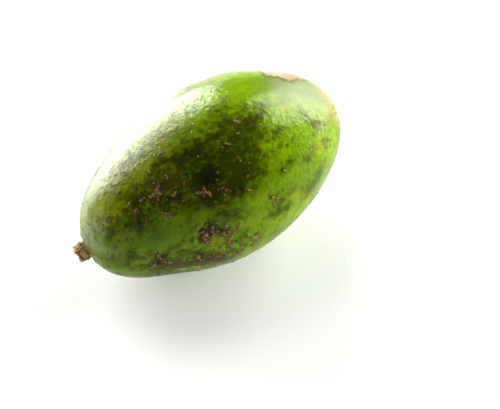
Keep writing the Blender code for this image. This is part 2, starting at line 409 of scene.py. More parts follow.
# Tan russeting in a fine net
TAN = (
    (-19.0, 187, 2.4, 0.40),
    (-14.0, 188, 2.8, 0.45),
    (-8.6, 187, 3.0, 0.55),
    (-3.0, 185, 3.2, 0.60),
    (36.5, 112, 3.4, 0.55),
    (-31.0, 178, 2.6, 0.5),
    (-26.1, 98, 2.6, 0.35),
    (37.8, 142, 4.2, 0.8),
    (33.3, 130, 2.6, 0.5),
    (39.0, 100, 3.4, 0.6),
)

# The masks of soft patches: their list, then for the sides that the photograph doesn't show a
# seed, the number of drawn patches, and their smallest and largest reach in millimetres
PATCHES = {
    "shade": (FILM_AND_PAINTED_SHADE, 53, 24, 5, 9),
    "haze": (HAZE, 43, 24, 3.5, 7),
    # The bloom is partly a painted sheen
    "bloom": (BLOOM_AND_PAINTED_SHEEN, 59, 8, 5, 9),
    "olive": (OLIVE, 61, 16, 4, 7),
    "soot": (SOOT, 41, 34, 1.6, 3.2),
    "tan": (TAN, 47, 12, 2.0, 4.5),
}

# Stalk joint with its hollow, collar and socket, and tip with its flower scar, as in the solid but
# for the wall of the socket, which slopes a little
STALK_OFF_AXIS = 5.0 * MM
STALK_ROUND = math.radians(305)
HOLLOW_DEPTH = 0.75 * MM
HOLLOW_REACH = 4.6 * MM
COLLAR_RISE = 0.30 * MM
COLLAR_RADIUS = 4.3 * MM
COLLAR_WIDTH = 0.9 * MM
SOCKET_DEPTH = 1.3 * MM
SOCKET_CLEARANCE = 0.30 * MM
SOCKET_FLOOR_RADIUS = 2.95 * MM
SOCKET_RIM_RADIUS = 3.35 * MM
TIP_HOLLOW = 0.35 * MM
TIP_HOLLOW_REACH = 4.5 * MM
TIP_POINT_RISE = 0.55 * MM
TIP_POINT_REACH = 1.1 * MM

# Russet plate near the tip
PLATE_ALONG = 31.5 * MM
PLATE_ROUND = math.radians(62)
PLATE_RADIUS = 7.5 * MM

# The skin starts as a cube whose edges are cut into 8 pieces, and each of those into 16
SKIN_CUTS = (8, 16)

# Ragged edges of the scars and the plate: size of the bumps and how far they push the edge
RAGGED_SIZE = 1.1 * MM
RAGGED_REACH = 0.20 * MM
PLATE_RAGGED = 0.05

# Where the scars and the plate reach their full height and where they meet the skin, how uneven
# the tops of the scars are, and how far the mask of the cork runs
SCAR_EDGE = (-0.35 * MM, 0.30 * MM)
PLATE_EDGE = (0.90, 1.04)
SCAR_UNEVEN = 0.6
CORK_MASK_REACH = 2 * MM

# Fine unevenness of the skin: size of the bumps, rise, octaves, and a shift that sets them apart
BUMPS = (
    (3.4 * MM, 0.05 * MM, 2, 7.0),
    (8 * MM, 0.08 * MM, 1, 3.0),
)

# Half the height over which the skin rounds off at the rim of the resting spot
SOFT_RIM = 0.08 * MM

# Stump: steps along its bark, rings on its broken end, steps round it, and how far the plain
# bark lies inside its radius, which leaves room for the ridges
BARK_STEPS = 60
END_RINGS = 28
ROUND_STEPS = 132
BARK_INSET = 0.05 * MM

# Relief of the stump, with rises and depths in millimetres, and places as shares of its length
# or of the radius of its end: node, groove, knobs and ridges of the bark, then two waves of
# splinters, the fibres, the sunken pith and the seam under the bark of the broken end
NODE_RISE = 0.25
NODE_PLACE = 0.52
GROOVE_DEPTH = 0.22
GROOVE_PLACE = 0.80
KNOB_RISE = 0.12
RIDGE_RISE = 0.22
RIDGE_LENGTH = 1.6 * MM
RIDGES_ROUND = 4.5
LEAN_RISE = 0.24
SPLINTER_RISE = 0.16
FIBRE_RISE = 0.13
FIBRE_SIZE = 0.35 * MM
PITH_DEPTH = 0.6
SEAM_DEPTH = 0.16
SEAM_PLACE = 0.78

# Noises of the rind: whether drawn out along the fruit, size of the bumps in millimetres, detail,
# roughness and distortion
NOISES = {
    "wide": (True, 15, 2, 0.5, 0),
    "patchy": (True, 5, 4, 0.6, 0),
    "mottle": (False, 1.6, 3, 0.65, 0.15),
    "grain": (False, 0.55, 2, 0.5, 0),
    "turning": (False, 11, 2, 0.5, 0),
    "split": (False, 2.2, 3, 0.6, 0.4),
    "peel": (False, 1.5, 1.5, 0.5, 0),
}

# Spacing of the dark pits and of the pale pores in the rind, and the rise of the finest bumps
PIT_SPACING = 1.4 * MM
PORE_SPACING = 2.1 * MM
BUMP_RISE = 0.15 * MM

# Settings that many nodes share
SOFT = {"interpolation_type": "SMOOTHSTEP"}
PLUS = {"operation": "MULTIPLY_ADD"}
MIX = {"data_type": "RGBA"}

# Camera, as for the photograph: its place in metres, its turn from across the fruit's long axis,
# its angle down to the floor, and its focal length and sensor width in millimetres
CAMERA_PLACE = (-0.16354, -0.22262, 0.34140)
CAMERA_TURN = math.radians(38.82)
CAMERA_HEIGHT = math.radians(50)
CAMERA_LENS = 104.85
CAMERA_SENSOR = 36

# Table top, and the height at which lights lie on it
TABLE_RADIUS = 0.8
TABLE_SIDES = 96
LYING_HEIGHT = 1 * MM

# Lights: name, degrees to the right of the camera's line of sight, degrees above the fruit or
# None for one that lies on the table, distance and size in metres. Those named light shine on
# the colours alone, and those named shine are only mirrored in the wax
LIGHTS = (
    ("left_light", -37, 18, 0.90, (1.00, 0.80)),
    ("left_shine", -39, 15, 0.90, (0.96, 0.68)),
    ("left_high_shine", -39, 40, 0.90, (0.96, 0.18)),
    ("left_side_shine", -9, 12, 0.90, (0.12, 0.56)),
    ("left_floor_shine", -42, None, 0.70, (0.40, 0.72)),
    ("near_floor_shine", -40, None, 0.22, (0.10, 0.24)),
    ("right_light", 43, 16, 0.90, (0.60, 0.56)),
    ("right_shine", 44, 24, 0.90, (0.66, 0.58)),
    ("right_low_shine", 42, 3, 0.90, (0.60, 0.20)),
    ("right_floor_shine", 54, None, 0.70, (0.24, 0.92)),
    ("side_shine", -105, 8, 0.90, (0.70, 0.60)),
    ("side_floor_shine", -98, None, 0.27, (0.40, 0.40)),
    ("tip_side_light", 72, 10, 0.90, (0.40, 0.30)),
    ("front_light", -160, 20, 0.90, (0.40, 0.30)),
    ("high_light", -50, 60, 0.90, (0.40, 0.30)),
)


def linear(code):
    """Turns an sRGB hex colour into the linear values that shaders take."""
    parts = [int(code[i : i + 2], 16) / 255 for i in (1, 3, 5)]
    return [c / 12.92 if c <= 0.04045 else ((c + 0.055) / 1.055) ** 2.4 for c in parts]


def colour_property(name, code, description):
    return FloatVectorProperty(
        name=name,
        description=description,
        default=linear(code),
        size=3,
        min=0,
        max=1,
        subtype="COLOR",
    )


def length_property(name, size, description):
    return FloatProperty(
        name=name, description=description, default=size, min=0, precision=5, unit="LENGTH"
    )


def power_property(name, power, description):
    return FloatProperty(name=name, description=description, default=power, min=0, unit="POWER")


def number_property(name, number, description):
    return IntProperty(name=name, description=description, default=number, min=0)


def strength_property(name, strength, description):
    return FloatProperty(name=name, description=description, default=strength, min=0)


class FruitSettings(PropertyGroup):
    """Sizes and colours of the fruit."""

    scar_rise: length_property("Scar rise", 0.16 * MM, "How far the corky scars stand up")
    patch_rise: length_property("Russet rise", 0.20 * MM, "Thickness of the russet plate")
    drawn_scars: number_property("Drawn scars", 46, "Number of scars on the far side")
    drawn_pores: number_property("Drawn pores", 90, "Number of corky pores on the far side")
    bright: colour_property("Young green", "#83a008", "Clean young skin")
    middle: colour_property("Green", "#6f8a0a", "Most of the skin")
    deep: colour_property("Deep green", "#4a5f0a", "Darker flecks between the pores")
    ripe: colour_property("Yellow green", "#949a10", "Patches that start to ripen")
    # This dark film is partly painted shade: it also darkens the middle band and the underside
    shade: colour_property("Dark film", "#3e430c", "Dark green film of old wax")
    haze: colour_property("Haze", "#62582c", "Thin brownish bloom over the green")
    # The bloom's grey is partly a painted sheen along the upper limb, the highlight's edge and the lower
    # band
    bloom: colour_property("Bloom", "#6c7848", "Smooth grey-green bloom of the wax")
    soot: colour_property("Soot", "#312f1e", "Sooty mould in blotches")
    cork: colour_property("Cork", "#a28a66", "Tops of the corky scars")
    dark_cork: colour_property("Dark cork", "#43301a", "Cracks and edges of the scars")
    pore: colour_property("Pores", "#a09358", "Small pale pores")
    russet: colour_property("Russet", "#96906f", "Plate of pale rough skin near the tip")


class StumpSettings(PropertyGroup):
    """Sizes and colours of the stump of the stalk."""

    base_radius: length_property("Base radius", 2.75 * MM, "Radius where it joins the fruit")
    end_radius: length_property("End radius", 2.55 * MM, "Radius at the broken end")
    outside: length_property("Length outside", 2.6 * MM, "How far it stands out of the skin")
    bark: colour_property("Bark", "#9a784c", "Dry corky bark")
    pale_bark: colour_property("Pale bark", "#c2a878", "Worn high places and the broken end")
    crack: colour_property("Crack", "#35261a", "Cracks in the bark and the pith")


class StageSettings(PropertyGroup):
    """The table and the lights, each setting of a light under that light's name."""

    floor: colour_property("Table top", "#f3f4f3", "Matt white acrylic")
    table_glow: strength_property("Table glow", 0.11, "Light that comes up through the table")
    left_light: power_property("Left light", 11, "Big soft light, behind to the left")
    left_shine: power_property("Left shine", 25.2, "The same light as the wax mirrors it")
    left_high_shine: power_property("Left high shine", 3.2, "Its soft upper edge, as mirrored")
    left_side_shine: power_property("Left side shine", 0.38, "Its soft right edge, as mirrored")
    left_floor_shine: power_property("Left floor shine", 7.5, "Table behind to the left, as mirrored")
    near_floor_shine: power_property("Near floor shine", 0.45, "The table close to the fruit")
    right_light: power_property("Right light", 6, "Soft light, behind to the right")
    right_shine: power_property("Right shine", 9.8, "The same light as the wax mirrors it")
    right_low_shine: power_property("Right low shine", 1.5, "The pale wall under it, as mirrored")
    right_floor_shine: power_property("Right floor shine", 3.6, "Table behind to the right, as mirrored")
    side_shine: power_property("Side shine", 7, "Pale wall on the stalk's side, as mirrored")
    side_floor_shine: power_property("Side floor shine", 1.6, "Table on the stalk's side, as mirrored")
    tip_side_light: power_property("Tip side light", 9, "Soft light on the tip's side")
    front_light: power_property("Front light", 2.2, "Weak light from in front")
    high_light: power_property("High light", 1.3, "Soft light high on the left")
    backdrop: strength_property("Backdrop", 0.9, "Brightness of the pale wall round the table")


def plain_skin(turn, around):
    """Points of the smooth body: turn is 0 at the stalk end and pi at the tip."""
    along = -np.cos(turn)
    slim = np.where(along < 0, STALK_END_SLIM, TIP_END_SLIM)
    radius = BODY_DIAMETER / 2 * np.sin(turn) * (1 - slim * np.sin(2 * turn) ** 2)
    radius = radius * (1 + TIP_FULLER * along)
    x = BODY_LENGTH / 2 * along + 0 * around
    return np.stack([x, radius * np.cos(around), radius * np.sin(around)], axis=-1)


def outward(points):
    """Unit vectors that point straight out of the smooth body."""
    scale = np.array([BODY_LENGTH, BODY_DIAMETER, BODY_DIAMETER]) / 2
    normals = points / scale**2
    return normals / np.linalg.norm(normals, axis=-1, keepdims=True)


def spot(along, around):
    """The point of the smooth body at a distance along from the middle, and an angle round."""
    turn = math.acos(max(-1.0, min(1.0, -along / (BODY_LENGTH / 2))))
    return plain_skin(np.array(turn), np.array(around))


def fade(distance, inner, outer):
    """1 up to the inner distance, falling smoothly to 0 at the outer one."""
    share = np.clip((distance - inner) / (outer - inner), 0, 1)
    return 1 - share * share * (3 - 2 * share)


def distance_to(points, centre):
    return np.linalg.norm(points - centre, axis=-1)


def distance_to_line(points, start, end):
    step = end - start
    share = np.clip((points - start) @ step / (step @ step), 0, 1)
    return np.linalg.norm(points - start - share[..., None] * step, axis=-1)


def rough(points, size, octaves=2, shift=0.0):
    """Smooth unevenness between about -1 and 1 whose bumps are about that size."""
    values = np.empty(len(points))
    for index, point in enumerate(points / size + shift):
        values[index] = noise.fractal(Vector(point), 1.0, 2.0, octaves)
    return values


def swells(points):
    """Height of the slow unevenness at each point, with drawn swells everywhere but underneath."""
    height = np.zeros(len(points))
    for along, degrees, reach, rise in SWELLS:
        centre = spot(along * MM, math.radians(degrees))
        height += rise * MM * np.exp(-((distance_to(points, centre) / (reach * MM)) ** 2))
    draw = np.random.default_rng(SWELL_SEED)
    for _ in range(DRAWN_SWELLS):
        centre = spot(draw.uniform(-0.96, 0.96) * BODY_LENGTH / 2, draw.uniform(0, 2 * math.pi))
        reach = draw.uniform(*DRAWN_SWELL_REACH) * MM
        rise = draw.uniform(-DRAWN_SWELL_RISE, DRAWN_SWELL_RISE) * MM
        if centre[2] > -0.8 * BODY_DIAMETER / 2:
            height += rise * np.exp(-((distance_to(points, centre) / reach) ** 2))
    return height


def free_for_drawn_marks(centre):
    """True away from the shown side and from the resting spot."""
    return outward(centre) @ np.array(SHOWN_SIDE) < 0.12 and centre[2] > -0.93 * BODY_DIAMETER / 2


def drawn_scar(along, around, draw):
    """The lines of one branching scar that starts at a place on the smooth body."""
    first = draw.uniform(0, 2 * math.pi)
    arms = int(draw.integers(2, 5))
    lines = []
    for arm in range(arms):
        heading = first + 2 * math.pi * arm / arms + draw.uniform(-0.6, 0.6)
        here = np.array([along, around])
        line = [here]
        for _ in range(int(draw.integers(1, 4))):
            step = draw.uniform(0.5, 1.3) * MM
            radius = max(6 * MM, math.hypot(*spot(here[0], here[1])[1:]))
            here = here + [step * math.cos(heading), step * math.sin(heading) / radius]
            line.append(here)
            heading += draw.uniform(-0.9, 0.9)
        lines.append((draw.uniform(0.18, 0.40) * MM, line))
    return lines


def cork_reach(points, settings):
    """How far each point is from the nearest cork: scars with uneven arms, and round pores."""
    lines = [
        (width * MM, [(along * MM, math.radians(degrees)) for along, degrees in line])
        for width, line in SCARS
    ]
    draw = np.random.default_rng(SCAR_SEED)
    drawn = 0
    while drawn < settings.drawn_scars:
        along = draw.uniform(-0.9, 0.75) * BODY_LENGTH / 2
        around = draw.uniform(0, 2 * math.pi)
        if free_for_drawn_marks(spot(along, around)):
            lines += drawn_scar(along, around, draw)
            drawn += 1
    nearest = np.full(len(points), BODY_LENGTH)
    for width, line in lines:
        thick = width
        for first, second in zip(line, line[1:]):
            away = distance_to_line(points, spot(*first), spot(*second))
            nearest = np.minimum(nearest, away - thick)
            thick = width * draw.uniform(0.45, 1.1)
    pores = [(spot(a * MM, math.radians(d)), r * MM) for a, d, r in PORES]
    while len(pores) < len(PORES) + settings.drawn_pores:
        centre = spot(draw.uniform(-0.93, 0.9) * BODY_LENGTH / 2, draw.uniform(0, 2 * math.pi))
        if free_for_drawn_marks(centre):
            pores.append((centre, draw.uniform(0.20, 0.38) * MM))
    for centre, radius in pores:
        nearest = np.minimum(nearest, distance_to(points, centre) - radius)
    return nearest


def patches(points, listed, seed, count, low, high):
    """Soft patches at each point: the listed ones, and some drawn on the far side."""
    marks = [(spot(a * MM, math.radians(d)), r * MM, s) for a, d, r, s in listed]
    draw = np.random.default_rng(seed)
    while len(marks) < len(listed) + count:
        centre = spot(draw.uniform(-0.95, 0.9) * BODY_LENGTH / 2, draw.uniform(0, 2 * math.pi))
        reach, strength = draw.uniform(low, high) * MM, draw.uniform(0.3, 1.0)
        if free_for_drawn_marks(centre):
            marks.append((centre, reach, strength))
    mask = np.zeros(len(points))
    for centre, reach, strength in marks:
        mask += strength * np.exp(-((distance_to(points, centre) / reach) ** 2))
    return np.clip(mask, -1.2, 1.2)


def plate_reach(points):
    """Distance from the middle of the russet plate near the tip: 1 at its wandering edge."""
    centre = spot(PLATE_ALONG, PLATE_ROUND)
    way_round = np.array([0, -math.sin(PLATE_ROUND), math.cos(PLATE_ROUND)])
    angle = np.arctan2((points - centre) @ way_round, points[..., 0] - centre[0])
    edge = 1 + 0.10 * np.sin(3 * angle + 0.7) + 0.07 * np.sin(7 * angle + 2.0)
    return distance_to(points, centre) / PLATE_RADIUS / edge


def stalk_joint():
    """Where the stalk joins the smooth body, from the body's middle, and which way it points."""
    turn = math.asin(STALK_OFF_AXIS / (BODY_DIAMETER / 2))
    joint = plain_skin(np.array(turn), np.array(STALK_ROUND))
    return joint, Vector(outward(joint))


def end_relief(points):
    """Hollow, collar and socket round the stalk, and the pointed flower scar at the tip."""
    joint, _ = stalk_joint()
    away = distance_to(points, joint)
    height = -HOLLOW_DEPTH * np.exp(-((away / HOLLOW_REACH) ** 2))
    height += COLLAR_RISE * np.exp(-(((away - COLLAR_RADIUS) / COLLAR_WIDTH) ** 2))
    height -= SOCKET_DEPTH * fade(away, SOCKET_FLOOR_RADIUS, SOCKET_RIM_RADIUS)
    away = distance_to(points, np.array([BODY_LENGTH / 2, 0, 0]))
    height -= TIP_HOLLOW * np.exp(-((away / TIP_HOLLOW_REACH) ** 2))
    height += TIP_POINT_RISE * np.exp(-((away / TIP_POINT_REACH) ** 2))
    return height


def cut_cube(name):
    """A mesh of a cube whose sides are cut into small squares."""
    build = bmesh.new()
    bmesh.ops.create_cube(build, size=2)
    for pieces in SKIN_CUTS:
        bmesh.ops.subdivide_edges(build, edges=build.edges[:], cuts=pieces - 1, use_grid_fill=True)
    mesh = bpy.data.meshes.new(name)
    build.to_mesh(mesh)
    build.free()
    return mesh


def smooth_body(mesh):
    """Where the cut cube's corners lie on the smooth body. The tangent keeps its squares even."""
    ball = np.empty(len(mesh.vertices) * 3)
    mesh.vertices.foreach_get("co", ball)
    ball = np.tan(ball.reshape(-1, 3) * math.pi / 4)
    ball /= np.linalg.norm(ball, axis=1, keepdims=True)
    turn = np.arccos(np.clip(-ball[:, 0], -1, 1))
    return plain_skin(turn, np.arctan2(ball[:, 2], ball[:, 1]))


def rested(height):
    """Heights over the table with the resting spot flat on it and rounded off at its rim."""
    eased = np.where(height < -SOFT_RIM, 0, (height + SOFT_RIM) ** 2 / (4 * SOFT_RIM))
    return np.where(height < SOFT_RIM, eased, height)


def stump_outline(settings, low, length):
    """Radius and height of the stump's section, from its buried end to its broken one."""
    outline = [(0.0, low)]
    for step in range(BARK_STEPS + 1):
        share = step / BARK_STEPS
        radius = settings.base_radius + share * (settings.end_radius - settings.base_radius)
        outline.append((radius - BARK_INSET, low + share * length))
    for share in np.linspace(0.97, 0.04, END_RINGS):
        outline.append((share * settings.end_radius, low + length))
    outline.append((0.0, low + length))
    return outline


def turn_stump(outline):
    """Turns the stump's section to a closed solid round the Z axis."""
    build = bmesh.new()
    corners = [build.verts.new((radius, 0, high)) for radius, high in outline]
    edges = [build.edges.new(pair) for pair in zip(corners, corners[1:])]
    bmesh.ops.spin(
        build,
        geom=corners + edges,
        cent=(0, 0, 0),
        axis=(0, 0, 1),
        angle=2 * math.pi,
        steps=ROUND_STEPS,
        use_merge=True,
    )
    bmesh.ops.remove_doubles(build, verts=build.verts, dist=0.001 * MM)
    bmesh.ops.recalc_face_normals(build, faces=build.faces)
    return build


def break_stump(build, settings, low, length):
    """Moves the corners of the turned stump: its bark gets a swollen node, a groove, knobs and
    ridges, and its end gets splinters, fibres, a seam under the bark and a sunken pith. Returns how
    cracked and how freshly broken each corner is. What the socket hides stays plain."""
    _, knob_phase, lean_phase, splinter_phase = np.random.default_rng(STUMP_SEED).uniform(
        0, 2 * math.pi, 4
    )
    cracks, broken = [], []
    for corner in build.verts:
        radius = math.hypot(corner.co.x, corner.co.y)
        angle = math.atan2(corner.co.y, corner.co.x)
        share = (corner.co.z - low) / length
        outside = float(fade(np.array(share), 0.35, 0.2))
        swirl = (math.cos(angle) * RIDGES_ROUND, math.sin(angle) * RIDGES_ROUND)
        ridge = noise.noise(Vector((*swirl, corner.co.z / RIDGE_LENGTH)))
        knobs = math.sin(3 * angle + knob_phase + 5 * share) + 0.6 * math.sin(5 * angle - 4 * share)
        node = NODE_RISE * math.exp(-(((share - NODE_PLACE) / 0.10) ** 2))
        groove = -GROOVE_DEPTH * math.exp(-(((share - GROOVE_PLACE) / 0.035) ** 2))
        side = outside * (node + groove + KNOB_RISE * knobs + RIDGE_RISE * ridge) * MM
        splinter = LEAN_RISE * math.sin(2 * angle + lean_phase)
        splinter += SPLINTER_RISE * math.sin(5 * angle + splinter_phase)
        inside = radius / settings.end_radius
        if radius > 0:
            grow = 1 + side / settings.base_radius
            corner.co.x *= grow
            corner.co.y *= grow
        top = share > 0.999
        if top:
            fibre = noise.noise(Vector((corner.co.x, corner.co.y, 0)) / FIBRE_SIZE)
            pith = PITH_DEPTH * float(fade(np.array(inside), 0.12, 0.42))
            seam = SEAM_DEPTH * math.exp(-(((inside - SEAM_PLACE) / 0.05) ** 2))
            corner.co.z += (splinter * inside**1.5 + FIBRE_RISE * fibre - pith - seam) * MM
            cracks.append(float(fade(np.array(inside), 0.12, 0.3)) + 4 * seam)
        else:
            corner.co.z += splinter * float(fade(np.array(share), 1.0, 0.8)) * MM
            cracks.append(min(1.0, max(0.0, -2.2 * ridge - 0.35 - 2.5 * groove)) * outside)
        broken.append(1.0 if top else float(fade(np.array(share), 1.0, 0.9)) * 0.6)
    return np.clip(np.array(cracks), 0, 1), np.array(broken)


def add(tree, kind, inputs, output=0, **settings):
    """Adds a node with its settings and links, and returns one of its outputs."""
    node = tree.nodes.new(kind)
    for name, value in settings.items():
        setattr(node, name, value)
    for name, value in inputs.items():
        if isinstance(value, bpy.types.NodeSocket):
            tree.links.new(value, node.inputs[name])
        else:
            node.inputs[name].default_value = value
    return node.outputs[output]


def new_material(name):
    """A material with an empty tree but for its shader."""
    material = bpy.data.materials.new(name)
    material.use_nodes = True
    return material, material.node_tree, material.node_tree.nodes["Principled BSDF"]


def unevenness(tree, place):
    """The noises of the rind, by name."""
    lengthwise = add(tree, "ShaderNodeMapping", {"Vector": place, "Scale": (0.45, 1, 1)})
    found = {}
    for name, (drawn_out, size, detail, roughness, distortion) in NOISES.items():
        inputs = {
            "Vector": lengthwise if drawn_out else place,
            "Scale": 1 / (size * MM),
            "Detail": detail,
            "Roughness": roughness,
            "Distortion": distortion,
        }
        found[name] = add(tree, "ShaderNodeTexNoise", inputs)
    return found


def blotches(tree, masks, uneven):
    """How thick the smooth bloom lies, partly a painted sheen, and the dark film, partly painted
    shade, brownish haze, tan russeting and soot, which the finer unevenness breaks up."""
    patchy, mottle, grain = (uneven[name] for name in ("patchy", "mottle", "grain"))
    bloom_and_painted_sheen = add(tree, "ShaderNodeMath", {0: masks["bloom"], 1: 0.85}, operation="MULTIPLY")
    film_and_shade_cover = masks["shade"]
    for part, share in ((patchy, 2.2), (mottle, 1.6)):
        film_and_shade_cover = add(tree, "ShaderNodeMath", {0: part, 1: share, 2: film_and_shade_cover}, **PLUS)
    film_and_shade_cover = add(tree, "ShaderNodeMapRange", {0: film_and_shade_cover, 1: 1.98, 2: 3.05, 4: 0.92}, **SOFT)
    hazy = add(tree, "ShaderNodeMath", {0: masks["haze"], 1: 0.85}, operation="MULTIPLY")
    for part, share in ((patchy, 1.2), (mottle, 3.2), (grain, 2.0)):
        hazy = add(tree, "ShaderNodeMath", {0: part, 1: share, 2: hazy}, **PLUS)
    hazy = add(tree, "ShaderNodeMapRange", {0: hazy, 1: 3.48, 2: 4.38, 4: 0.88}, **SOFT)
    speck = add(tree, "ShaderNodeMath", {0: grain, 1: 1.5}, operation="MULTIPLY")
    speck = add(tree, "ShaderNodeMath", {0: mottle, 1: 2.4, 2: speck}, **PLUS)
    tanned = add(tree, "ShaderNodeMath", {0: speck, 1: masks["tan"]}, operation="ADD")
    tanned = add(tree, "ShaderNodeMapRange", {0: tanned, 1: 2.4, 2: 2.85, 4: 0.75}, **SOFT)
    sooty = add(tree, "ShaderNodeMath", {0: speck, 1: masks["soot"]}, operation="ADD")
    sooty = add(tree, "ShaderNodeMapRange", {0: sooty, 1: 2.25, 2: 3.25, 4: 0.92}, **SOFT)
    return bloom_and_painted_sheen, film_and_shade_cover, hazy, tanned, sooty


def pits_and_pores(tree, place, masks, uneven):
    """Fine dark pits where the skin is hazy, and pale pores in dark rings."""
    pits = add(tree, "ShaderNodeTexVoronoi", {"Vector": place, "Scale": 1 / PIT_SPACING})
    pit_size = add(
        tree,
        "ShaderNodeMapRange",
        {0: pits.node.outputs["Color"], 1: 0.3, 2: 0.75, 3: -0.3, 4: -0.02},
    )
    pit_size = add(tree, "ShaderNodeMath", {0: uneven["grain"], 1: 0.6, 2: pit_size}, **PLUS)
    pits = add(tree, "ShaderNodeMath", {0: pits, 1: pit_size}, operation="SUBTRACT")
    pits = add(tree, "ShaderNodeMapRange", {0: pits, 1: 0.10, 2: -0.08}, **SOFT)
    spread = add(tree, "ShaderNodeMath", {0: masks["haze"], 1: 0.3, 2: uneven["patchy"]}, **PLUS)
    spread = add(tree, "ShaderNodeMapRange", {0: spread, 1: 0.48, 2: 0.74, 4: 0.75})
    pits = add(tree, "ShaderNodeMath", {0: pits, 1: spread}, operation="MULTIPLY")
    pores = add(tree, "ShaderNodeTexVoronoi", {"Vector": place, "Scale": 1 / PORE_SPACING})
    pore_size = add(
        tree,
        "ShaderNodeMapRange",
        {0: pores.node.outputs["Color"], 1: 0.15, 2: 0.8, 3: 0.02, 4: 0.17},
    )
    pores = add(tree, "ShaderNodeMath", {0: pores, 1: pore_size}, operation="SUBTRACT")
    rings = add(tree, "ShaderNodeMapRange", {0: pores, 1: 0.14, 2: 0.03, 4: 0.3}, **SOFT)
    pores = add(tree, "ShaderNodeMapRange", {0: pores, 1: 0.03, 2: -0.05, 4: 0.7}, **SOFT)
    return pits, rings, pores


def scar_cork(tree, settings, masks, uneven):
    """Dark cracked edges of the cork, its ragged tops, and the pinkish colour of those."""
    ragged = masks["cork"]
    for name, share in (("grain", 0.6), ("mottle", 0.9)):
        ragged = add(tree, "ShaderNodeMath", {0: uneven[name], 1: share, 2: ragged}, **PLUS)
    edges = add(tree, "ShaderNodeMapRange", {0: ragged, 1: 1.00, 2: 1.30, 4: 0.8}, **SOFT)
    corky = add(tree, "ShaderNodeMapRange", {0: ragged, 1: 1.23, 2: 1.40}, **SOFT)
    tops = add(tree, "ShaderNodeMapRange", {0: uneven["grain"], 1: 0.34, 2: 0.56}, **SOFT)
    low, high = (*settings.dark_cork, 1), (*settings.cork, 1)
    return edges, corky, add(tree, "ShaderNodeMix", {0: tops, 6: low, 7: high}, 2, **MIX)


def russet_plate(tree, settings, masks, uneven):
    """Brown rim of the russet plate, the plate itself, and its pale cracked colour."""
    broken = add(tree, "ShaderNodeMath", {0: uneven["mottle"], 1: -0.26, 2: masks["plate"]}, **PLUS)
    rim = add(tree, "ShaderNodeMapRange", {0: broken, 1: 0.455, 2: 0.39, 4: 0.85}, **SOFT)
    plate = add(tree, "ShaderNodeMapRange", {0: broken, 1: 0.39, 2: 0.35}, **SOFT)
    pale = (*settings.russet, 1)
    worn = add(tree, "ShaderNodeMapRange", {0: uneven["mottle"], 1: 0.42, 2: 0.64, 4: 0.75}, **SOFT)
    split = add(tree, "ShaderNodeMath", {0: uneven["split"], 1: 0.5}, operation="SUBTRACT")
    split = add(tree, "ShaderNodeMath", {0: split}, operation="ABSOLUTE")
    split = add(tree, "ShaderNodeMath", {0: uneven["grain"], 1: 0.06, 2: split}, **PLUS)
    split = add(tree, "ShaderNodeMapRange", {0: split, 1: 0.055, 2: 0.03, 4: 0.6}, **SOFT)
    for cover, colour in ((worn, settings.cork), (split, settings.dark_cork)):
        pale = add(tree, "ShaderNodeMix", {0: cover, 6: pale, 7: (*colour, 1)}, 2, **MIX)
    return rim, plate, pale


